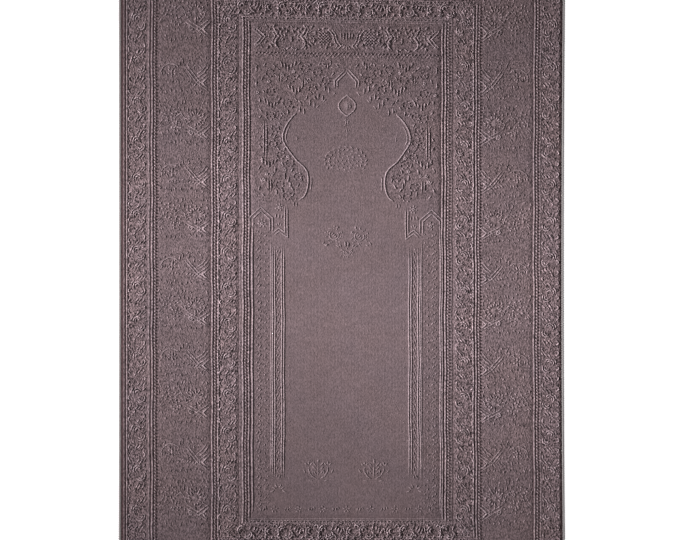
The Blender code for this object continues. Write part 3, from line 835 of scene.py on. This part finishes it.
def add_bouquet(bm):
    """The spray of three flowers at mid-field."""
    for x, y in ((-20, 55.4), (19.7, 54)):
        add_rose(bm, in_field(x, y), 8, 11)
    add_rose(bm, in_field(0, 28, stretch=0.68), 6.4, 9)
    strokes(bm, in_field(0, 28), ((-2.5, 13.5, 0, 11), (2.2, 13, 0, 11)), 2.2, 1.9)
    leaves = (
        (37, 43, 40, 7), (32, 40, 62, 7), (14, 38, -55, 8), (10, 39, -20, 6), (8, 60, -30, 6),
        (14, 68, 20, 5),
    )
    for side in (1, -1):
        strokes(bm, in_field(mirror=side), leaves, THIN, 1.5)
    ribbon(bm, in_field(-30, 42), [(-8, 0), (-3, -3), (3, -2)], FINE, 1.1)


def add_plants(bm):
    """Two low plants near the foot of the niche, and the row of small figures below them."""
    for x in (-44, 43):
        place = in_field(x, -328)
        sprig(bm, place, 30, 3)
        for side in (1, -1):
            curve = place @ at(0, 0, mirror=side)
            ribbon(bm, curve, [(3, 0), (10, 4), (15, 12), (15, 20)], FINE, FINE_RISE, step=5)
            fan(bm, curve @ at(15, 19), 9, 3, 90)
            strokes(bm, curve, ((22, 12, -30, 9), (9, 11, -10, 9), (12, -3, -80, 9)), THIN)
    for i in range(-7, 8):
        place = in_field(i * 19, -376)
        if i % 2:
            hatch(bm, place, 0, 0, 2, 4, -14, 7)
            stroke(bm, place, 6, 2, 30, 5, THIN)
        else:
            for turn, x, y in ring_of_petals(5, 4.2):
                stroke(bm, place, x, y, turn, 5, THIN)
            dots(bm, place, ((0, 0),), 2.4)


def make_field_flowers(material):
    bm = bmesh.new()
    add_medallion(bm)
    add_garland(bm)
    add_bouquet(bm)
    add_plants(bm)
    return finish_relief("field_flowers", bm, material)


# The spandrels, and the panel above them

ARCH_EDGE = [(0, 316), (17, 298)] + list(SLOPE) + LOBE + CUSP + [(75, 108)]


def arch_edge(y):
    """How far from the centre line the arch runs at a height, and none above its point."""
    for (x, high), (next_x, low) in zip(ARCH_EDGE, ARCH_EDGE[1:]):
        if low <= y <= high:
            return x + (next_x - x) * (high - y) / (high - low)
    return 0.0


def add_rosette(bm, place):
    """A small flower: a lobed ring of seven curved petals round a dot."""
    for turn, x, y in ring_of_petals(7, 5.4, 10):
        stroke(bm, place, x, y, turn - 90, 4.59, THIN, 1.9, HOOK)
    dots(bm, place, ((0, 0),), 2.6)


def add_fork(bm, place, length):
    """Two uprights with a leaf branching off to each side."""
    double_ribbon(bm, place, [(0, 0), (0, length)], 4.2, THIN, 1.8)
    stroke(bm, place, -6, length * 0.75, 35, 9, THIN)
    stroke(bm, place, 6, length * 0.8, -40, 10, THIN)
    stroke(bm, place, 5, length * 0.2, -50, 7, THIN)
    dots(bm, place, ((0, length + 5), (-9, length * 0.3)))


def add_sheaf(bm, place):
    """Five upright leaves side by side, in the shape of a V."""
    for i in range(5):
        lean = 9 * (2 - i)
        stroke(bm, place, (i - 2) * 5.2, vary(abs(i - 2) * 3.4, 0.3), lean, vary(12, 0.25), 2.3, 2.0)


SPANDREL_FORKS = ((104.7, 294, 14), (67, 288, 15), (120.4, 123, 20), (32, 316, 11))
SPANDREL_SHEAVES = ((80, 281), (118, 258), (92, 318), (122, 165))
SPANDREL_ROSETTES = (
    (66, 317), (47, 312), (33, 299), (88, 301), (121, 309), (54, 285), (94, 262), (120, 280), (108, 243),
    (113, 222), (121, 241), (109, 203), (90, 168), (117, 197), (104, 180), (77, 147), (105, 133), (94, 116),
)
SPANDREL_LEAVES = (
    (141.6, 317, 0, 14), (141.6, 292, 4, 14), (57, 300, -38, 9), (62, 296, -38, 8), (77, 304, 30, 10),
    (50, 272, -30, 9), (43, 292, -42, 9), (63, 271, 20, 9), (73, 264, -38, 9), (79, 268, -38, 8),
    (92, 248, 0, 10), (99, 246, -36, 9), (85, 256, 30, 8), (105, 268, 35, 10), (110, 272, 35, 8),
    (133, 300, 20, 9), (130, 280, -38, 9), (136, 266, 0, 9), (106, 230, -30, 9), (113, 210, 38, 8),
    (119, 212, 38, 8), (135, 250, -36, 9), (136, 240, 30, 8), (108, 191, -38, 9), (98, 190, 10, 9),
    (101, 166, -30, 10), (86, 157, 20, 10), (112, 157, 0, 11), (76, 133, 30, 10), (71, 143, -14, 9),
    (85, 128, -30, 11), (97, 147, 0, 13), (91, 142, 16, 12), (88, 134, 0, 12), (110, 122, 0, 10),
    (100.6, 124, 0, 9), (133, 170, -36, 9), (137, 160, 30, 9), (133, 140, -30, 10), (137, 128, 20, 9),
    (131, 117, -38, 8), (84, 118, 30, 8), (129, 322, 38, 9), (108, 316, -38, 9), (113, 320, -38, 8),
    (75, 325, 38, 8), (58, 323, -30, 8), (43, 325, 38, 8), (26, 327, 0, 8), (15, 322, -38, 9),
    (22, 309, 42, 9), (136, 208, 30, 8), (136, 193, -36, 9), (123, 262, 0, 8),
)
SPANDREL_BUTTONS = (
    (125, 150), (129, 141), (116, 150), (92, 178), (97, 157), (139, 278), (101, 307), (122, 296), (83, 312),
)
SPANDREL_KNOTS = (
    (90, 290), (99, 280), (71, 309), (128, 268), (133, 228), (140, 215), (114, 236), (106, 215), (127, 246),
)


def add_spandrel(bm, side):
    """Flowers, forked stems and leaves between the arch and its frame."""
    place = in_field(mirror=side)
    for x, y, length in SPANDREL_FORKS:
        add_fork(bm, place @ at(x, y), length)
    for x, y in SPANDREL_SHEAVES:
        add_sheaf(bm, place @ at(x, y))
    for x, y in SPANDREL_ROSETTES:
        add_rosette(bm, place @ at(x, y))
    strokes(bm, place, SPANDREL_LEAVES, 2.3, 1.8)
    for x in (126.4, 130.6):
        ribbon(bm, place, [(x, 170), (x, 237)], THIN, 1.7, step=STRAIGHT_STEP)
    for x, y in SPANDREL_BUTTONS:
        round_flower(bm, place @ at(x, y), 3.4)
    dots(bm, place, SPANDREL_KNOTS)


def make_spandrels(material):
    bm = bmesh.new()
    for side in (1, -1):
        add_spandrel(bm, side)
    return finish_relief("spandrels", bm, material)


PANEL_MIDDLE = 365.5


def add_cartouche(bm, place):
    """A vase outline: flared and doubled above, a waist, a round body below, about a short upright."""
    vase = [(26, 16), (21.5, 7), (17.5, 2), (22.5, -4), (24, -9), (22, -14), (16, -19)]
    for side in (1, -1):
        half = place @ at(0, 0, mirror=side)
        ribbon(bm, half, vase, 2.6, 2.4)
        ribbon(bm, half, beside(vase, 4.4)[:5], FINE, 1.4)
        ribbon(bm, half, beside(vase, -4.4)[1:4], FINE, 1.2)
        leaves = (
            (4, -17, 60, 8), (9, -19, -30, 7), (5, 10, 20, 7), (10, 14, -35, 7), (14, 9, 30, 6),
            (8, 4, -50, 6), (18, 14, -20, 6), (3, 17, 50, 6), (12, -3, 30, 6),
        )
        strokes(bm, half, leaves, 2.5, 2.4)
    stroke(bm, place, -2, -3, 0, 12, 2.4, 2.2)


def add_hatched_flower(bm, place):
    """A round flower of crossed strokes within a broken ring of petals."""
    for i in range(-4, 5):
        for j in range(-4, 5):
            x, y = (i - j) * 2.5, (i + j) * 2.4
            if math.hypot(x, y) < 11:
                stroke(bm, place, x, y, 42 if (i + j) % 2 else -42, 5.2, 2.0, 2.1)
    for i in range(11):
        x, y = polar(15, 33 * i)
        stroke(bm, place, x, y, 33 * i + 60 + chance.uniform(-20, 20), 6, 2.2, 2.4)


def make_cartouches(material):
    """The panel above the arch, and the twisted line that closes it below."""
    bm = bmesh.new()
    leaves = (
        (-4, -9, -42, 11), (0, -12, -42, 11), (8, -7, 30, 8), (-9, -4, 20, 8), (5, -16, 30, 7),
        (11, 4, 0, 8), (-11, 8, 0, 8), (-6, 18, 40, 7), (6, 18, -40, 7),
    )
    curve = [(26, 15), (19.5, 5), (16.5, -5.5), (11.5, -12), (18, -18)]
    for side in (1, -1):
        panel = in_field(0, PANEL_MIDDLE, mirror=side)
        add_cartouche(bm, panel @ at(89, 0))
        add_hatched_flower(bm, panel @ at(36, 0))
        double_ribbon(bm, panel, [(146, 15), (131, 1), (139, -9), (146, -15)], 4.4, THIN, 1.5)
        double_ribbon(bm, panel, curve, 4.2, THIN, 1.5)
        for x in (60, 120):
            ring_of_pips(bm, panel @ at(x, 8), 9)
            strokes(bm, panel @ at(x, 0), leaves, 2.5, 2.4)
        hatch(bm, panel, 140, 13, 3, 4.6, 20, 8)
        hatch(bm, panel, 140, -12, 3, 4.6, -38, 9)
    middle = in_field(0, PANEL_MIDDLE)
    for x, turn, length in ((-9, 6, 14), (-4.6, 0, 17), (0, 0, 19), (4.6, 0, 17), (9, -6, 14)):
        stroke(bm, middle, x, 4, turn, length * 0.9, THIN, 1.7)
    fan(bm, middle @ at(0, -8, 180), 12, 5, 130)
    x = -143.0
    while x < 144:
        stroke(bm, in_field(x, 341), 0, 0, -42, 5.6, THIN, 2.1, DASH)
        stroke(bm, in_field(x + 2.8, 337), 0, 0, -42, 4.6, FINE, 1.3, DASH)
        x += CROSS_PITCH
    return finish_relief("cartouche_panel", bm, material)


# The binding


def add_stitches(bm, start, end, inward):
    """Yarn turned round one edge of the rug, from start to end, with the needle's loops inside it."""
    length = math.dist(start, end)
    count = int(length / STITCH_PITCH)
    facing = math.degrees(math.atan2(inward[1], inward[0]))
    for i in range(count):
        share = (i + 0.5) / count
        x = start[0] + (end[0] - start[0]) * share
        y = start[1] + (end[1] - start[1]) * share
        place = at(x, y, facing)
        reach = BINDING_WIDTH * vary(1.0, 0.06)
        lean = STITCH_LEAN + chance.uniform(-4, 4)
        stroke(bm, place, reach / 2 - 0.3, 0, lean, reach + 0.6, STITCH_PITCH * 0.7, 0.8)
        stroke(bm, place, BINDING_WIDTH + LOOP_DEEP, 0, LOOP_LEAN, 2.6, 1.3, 0.9, DASH)


# Section of the yarn round the edge: how deep inwards and how high
BINDING_SECTION = (
    (5.2, 2.6), (4.6, 3.2), (2.6, 3.4), (0.9, 3.1), (0.5, 2.7), (0.5, 0.8), (1.0, 0.05), (5.2, 0.0),
)


def add_core(bm, start, end, inward):
    """The yarn's body round the edge: a rounded strip from the top, over the outside, to the underside."""
    points = finer([start, end], 20)
    columns = len(points) - 1
    rows = len(BINDING_SECTION)
    made = bmesh.ops.create_grid(bm, x_segments=columns, y_segments=rows, size=1)["verts"]
    for number, vert in enumerate(made):
        row, column = divmod(number, columns + 1)
        deep, up = BINDING_SECTION[row % rows]
        x, y = points[column]
        vert.co = (x + inward[0] * deep, y + inward[1] * deep, up)
    bmesh.ops.remove_doubles(bm, verts=made, dist=0.01)


def make_binding(name, start, end, inward, material):
    bm = bmesh.new()
    add_core(bm, start, end, inward)
    stitches = bmesh.new()
    add_stitches(stitches, start, end, inward)
    add_part(bm, stitches, Matrix.Translation((0, 0, STITCH_HEIGHT)))
    close_up(bm)
    for vert in bm.verts:
        x, y = drift(vert.co.x, vert.co.y)
        vert.co = (x * MM, y * MM, max(0.0, vert.co.z) * MM)
    piece = finish_piece("yarn_" + name, bm, material, "binding")
    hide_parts(name)
    return piece


def make_bindings(material):
    left, right, end = HALF_WIDTH + OUT_LEFT, HALF_WIDTH + OUT_RIGHT, HALF_LENGTH
    stop = HALF_WIDTH - BINDING_WIDTH
    return [
        make_binding("binding_left", (-left, -end), (-left, end), (1, 0), material),
        make_binding("binding_right", (right, -end), (right, end), (-1, 0), material),
        make_binding("binding_top", (-stop, end), (stop, end), (0, -1), material),
        make_binding("binding_bottom", (-stop, -end), (stop, -end), (0, 1), material),
    ]


# Finishes


class Finish:
    """A material's nodes, made one after the other."""

    def __init__(self, name):
        self.material = bpy.data.materials.new(name)
        self.material.use_nodes = True
        self.tree = self.material.node_tree
        self.shader = self.tree.nodes["Principled BSDF"]
        self.place = self.node("ShaderNodeTexCoord").outputs["Object"]

    def node(self, kind, inputs=(), **settings):
        made = self.tree.nodes.new(kind)
        for name, value in settings.items():
            setattr(made, name, value)
        for name, value in dict(inputs).items():
            if isinstance(value, bpy.types.NodeSocket):
                self.tree.links.new(value, made.inputs[name])
            else:
                made.inputs[name].default_value = value
        return made

    def noise(self, scale, detail=2.0, stretch=(1, 1, 1), turn=0.0):
        inputs = {"Vector": self.place, "Scale": stretch, "Rotation": (0, 0, math.radians(turn))}
        moved = self.node("ShaderNodeMapping", inputs)
        inputs = {"Vector": moved.outputs[0], "Scale": scale, "Detail": detail}
        return self.node("ShaderNodeTexNoise", inputs).outputs["Fac"]

    def blend(self, factor, first, second):
        inputs = {"Factor": factor, "A": first, "B": second}
        return self.node("ShaderNodeMix", inputs).outputs["Result"]

    def waves(self, pitch, direction, distortion=0.6):
        """Soft bands of that pitch in metres, 0 to 1, that follow each other along X or Y."""
        inputs = {"Vector": self.place, "Scale": math.pi / 10 / pitch, "Distortion": distortion}
        inputs |= {"Detail": 1.0, "Detail Scale": 1.5}
        return self.node("ShaderNodeTexWave", inputs, bands_direction=direction).outputs["Fac"]

    def math(self, operation, first, second):
        return self.node("ShaderNodeMath", {0: first, 1: second}, operation=operation).outputs[0]

    def ranged(self, value, low, high, to_low, to_high):
        inputs = {"Value": value, "From Min": low, "From Max": high, "To Min": to_low, "To Max": to_high}
        return self.node("ShaderNodeMapRange", inputs).outputs["Result"]

    def mix(self, factor, first, second, blend="MIX"):
        made = self.node("ShaderNodeMix", {0: factor}, data_type="RGBA", blend_type=blend)
        for socket, value in ((6, first), (7, second)):
            if isinstance(value, bpy.types.NodeSocket):
                self.tree.links.new(value, made.inputs[socket])
            else:
                made.inputs[socket].default_value = (*value, 1)
        return made.outputs[2]

    def bump(self, height, strength, distance, normal=None):
        inputs = {"Height": height, "Strength": strength, "Distance": distance}
        if normal:
            inputs["Normal"] = normal
        return self.node("ShaderNodeBump", inputs).outputs["Normal"]

    def end(self, colour, normal, roughness, sheen, sheen_roughness=0.4, sheen_tint=(1, 1, 1)):
        self.tree.links.new(colour, self.shader.inputs["Base Color"])
        self.tree.links.new(normal, self.shader.inputs["Normal"])
        self.shader.inputs["Roughness"].default_value = roughness
        self.shader.inputs["Specular IOR Level"].default_value = 0.2
        self.shader.inputs["Sheen Weight"].default_value = sheen
        self.shader.inputs["Sheen Roughness"].default_value = sheen_roughness
        self.shader.inputs["Sheen Tint"].default_value = (*sheen_tint, 1)
        return self.material


# The pile's colours by height: its mauve at the plain ground, darker below as painted shade in the grooves,
# paler above as a painted highlight on the raised parts
PILE_DEPTHS_PAINTED_SHADE, PILE_TIPS_PAINTED_HIGHLIGHT = (0.068, 0.036, 0.039), (0.385, 0.294, 0.313)
PAINTED_SHADE_FULL_AT, PAINTED_HIGHLIGHT_FULL_AT = 3.45, 5.0  # the heights where the pile has these two colours: full painted shade below, full painted highlight above
STREAK = 560.0  # across: how many per metre
STREAK_SHAPE = (1, 0.6, 1)
FIBRES = 520.0


def velvet():
    """Short mauve pile with painted shade low in its grooves and a painted highlight on its raised parts,
    its grain in short crossing streaks.
    """
    finish = Finish("mauve velvet pile")
    height = finish.node("ShaderNodeSeparateXYZ", {0: finish.place}).outputs["Z"]
    # Painted shade low in the pile and a painted highlight high on it, mixed by height
    painted_light_by_height = finish.ranged(height, PAINTED_SHADE_FULL_AT * MM, PAINTED_HIGHLIGHT_FULL_AT * MM, 0.0, 1.0)
    colour = finish.mix(painted_light_by_height, PILE_DEPTHS_PAINTED_SHADE, PILE_TIPS_PAINTED_HIGHLIGHT)

    # The grain: streaks that cross, slanted in the borders and square inside the niche, and single fibres
    coarse = finish.node("ShaderNodeAttribute", attribute_name="grain").outputs["Fac"]
    streaks = [finish.noise(STREAK, 1.0, STREAK_SHAPE, turn) for turn in (50, -50, 4, 94)]
    patches = finish.ranged(finish.noise(26.0, 1.0), 0.44, 0.56, 0.0, 1.0)
    in_borders = finish.blend(patches, streaks[0], streaks[1])
    in_niche = finish.blend(patches, streaks[2], streaks[3])
    bordered = finish.ranged(coarse, 0.3, 0.5, 0.0, 1.0)
    streaky = finish.ranged(finish.blend(bordered, in_niche, in_borders), 0.3, 0.7, 0.0, 1.0)
    fibres = finish.noise(FIBRES, 2.0)
    grain = finish.math("ADD", finish.math("MULTIPLY", streaky, 0.9), finish.math("MULTIPLY", fibres, 0.45))
    grain = finish.math("MULTIPLY", grain, coarse)

    # The shades: where the pile was brushed, mottled, painted darker in its grain's hollows and paler on
    # the grain's raised fibres, painted darker in the coarse borders as shade of their raised pattern,
    # speckled by its streaks
    brushed = finish.ranged(finish.noise(5.0, 3.0), 0.35, 0.65, 0.95, 1.05)
    mottled = finish.ranged(finish.noise(70.0, 3.0, (0.6, 1.4, 1)), 0.3, 0.7, 0.94, 1.06)
    # Grain tone that is also painted shade in the grain's hollows and a painted highlight on its raised
    # fibres
    grain_tone_and_painted_light = finish.ranged(grain, 0.0, 0.8, 0.86, 1.12)
    # Painted shade: the coarse-grained borders darker, for the shadows of their raised pattern
    painted_border_shade = finish.ranged(coarse, 0.28, 0.5, 1.0, 0.89)
    crossing = finish.math("SUBTRACT", streaks[0], streaks[1])
    crossed = finish.math("MULTIPLY", finish.ranged(crossing, -0.3, 0.3, -1.0, 1.0), coarse)
    speckled = finish.ranged(crossed, -1.0, 1.0, 0.0, 2.0)
    for shade in (brushed, mottled, grain_tone_and_painted_light, painted_border_shade, speckled):
        grey = finish.node("ShaderNodeCombineColor", {0: shade, 1: shade, 2: shade}).outputs[0]
        colour = finish.mix(1.0, colour, grey, "MULTIPLY")
    hue = finish.mix(finish.noise(16.0, 2.0), (1.04, 1.0, 0.96), (0.97, 1.0, 1.05))
    colour = finish.mix(1.0, colour, hue, "MULTIPLY")

    weave = finish.math("ADD", finish.waves(3.6 * MM, "Y"), finish.waves(5.3 * MM, "X", 1.2))
    normal = finish.bump(weave, 1.0, 0.045 * MM)
    normal = finish.bump(grain, 1.0, 0.7 * MM, normal)
    return finish.end(colour, normal, 0.92, 0.2, 0.45, (0.85, 0.66, 0.7))


def yarn():
    """Grey overlocked yarn, a little hairy."""
    finish = Finish("grey binding yarn")
    speckle = finish.noise(500.0, 3.0)
    colour = finish.mix(speckle, (0.3, 0.27, 0.27), (0.41, 0.375, 0.376))
    shade = finish.mix(finish.noise(14.0, 2.0), (0.9, 0.9, 0.9), (1.08, 1.08, 1.08))
    colour = finish.mix(1.0, colour, shade, "MULTIPLY")
    normal = finish.bump(finish.noise(900.0, 2.0), 0.5, 0.3 * MM)
    return finish.end(colour, normal, 0.85, 0.15)


def floor_finish():
    """White ground that shines a little by itself, so that it stays white round the lit rug."""
    finish = Finish("white floor")
    speckle = finish.noise(40.0, 2.0)
    colour = finish.mix(speckle, (0.86, 0.86, 0.86), (0.88, 0.88, 0.88))
    normal = finish.bump(speckle, 0.02, 0.1 * MM)
    finish.shader.inputs["Emission Color"].default_value = (1, 1, 1, 1)
    finish.shader.inputs["Emission Strength"].default_value = 0.85
    return finish.end(colour, normal, 0.8, 0.0)


# The studio, with its directions and distances in metres

RAKING_FROM, RAKING_WATTS, RAKING_AWAY = (-0.9, 0.07, 0.38), 11350.0, 9.0
RAKING_AIM, RAKING_REACH = (0.015, 0.0), 0.67  # where its pool of light lies on the rug, and how wide
OVERHEAD_FROM, OVERHEAD_WATTS, OVERHEAD_AWAY = (0.02, 0.05, 1.0), 0.6, 0.9
DAYLIGHT = 0.14
FOCAL_MM, SENSOR_MM = 100.0, 36.0


def make_floor():
    bm = bmesh.new()
    bmesh.ops.create_grid(bm, x_segments=1, y_segments=1, size=6)
    mesh = bpy.data.meshes.new("floor")
    bm.to_mesh(mesh)
    bm.free()
    mesh.materials.append(floor_finish())
    floor = bpy.data.objects.new("floor", mesh)
    floor.location.z = -0.2 * MM
    bpy.context.scene.collection.objects.link(floor)
    return floor


def add_light(name, kind, energy, direction, distance, aim=(0.0, 0.0), **settings):
    """A light that shines from a direction at a place on the rug."""
    light = bpy.data.lights.new(name, kind)
    light.energy = energy
    for key, value in settings.items():
        setattr(light, key, value)
    lamp = bpy.data.objects.new(name, light)
    towards = Vector(direction).normalized()
    lamp.location = towards * distance + Vector((*aim, 0))
    lamp.rotation_euler = towards.to_track_quat("Z", "Y").to_euler()
    bpy.context.scene.collection.objects.link(lamp)


def make_studio():
    scene = bpy.context.scene
    scene.view_settings.view_transform = "Standard"
    world = bpy.data.worlds.new("studio")
    world.use_nodes = True
    background = world.node_tree.nodes["Background"]
    background.inputs["Color"].default_value = (1, 1, 1, 1)
    background.inputs["Strength"].default_value = DAYLIGHT
    scene.world = world
    opening = 2 * math.atan(RAKING_REACH / RAKING_AWAY)
    cone = {"spot_size": opening, "spot_blend": 1.0, "shadow_soft_size": 0.5}
    add_light("raking light", "SPOT", RAKING_WATTS, RAKING_FROM, RAKING_AWAY, RAKING_AIM, **cone)
    add_light("overhead light", "AREA", OVERHEAD_WATTS, OVERHEAD_FROM, OVERHEAD_AWAY, size=0.6)
    camera = bpy.data.cameras.new("camera")
    camera.lens = FOCAL_MM
    camera.sensor_width = SENSOR_MM
    eye = bpy.data.objects.new("camera", camera)
    away = PHOTO_WIDTH_MM * MM / SENSOR_MM * FOCAL_MM
    eye.location = (PHOTO_CENTRE[0] * MM, PHOTO_CENTRE[1] * MM, away + GROUND * MM)
    scene.collection.objects.link(eye)
    scene.camera = eye


def main():
    pile = velvet()
    floor = make_floor()
    cloth = make_cloth(pile)
    raised = [
        make_rope_twists(pile),
        make_main_border(pile),
        make_guards(pile),
        make_niche(pile),
        make_field_flowers(pile),
        make_spandrels(pile),
        make_cartouches(pile),
    ]
    bindings = make_bindings(yarn())
    for shape in (PETAL, HOOK, DASH):
        bpy.data.meshes.remove(shape)
    make_studio()


main()
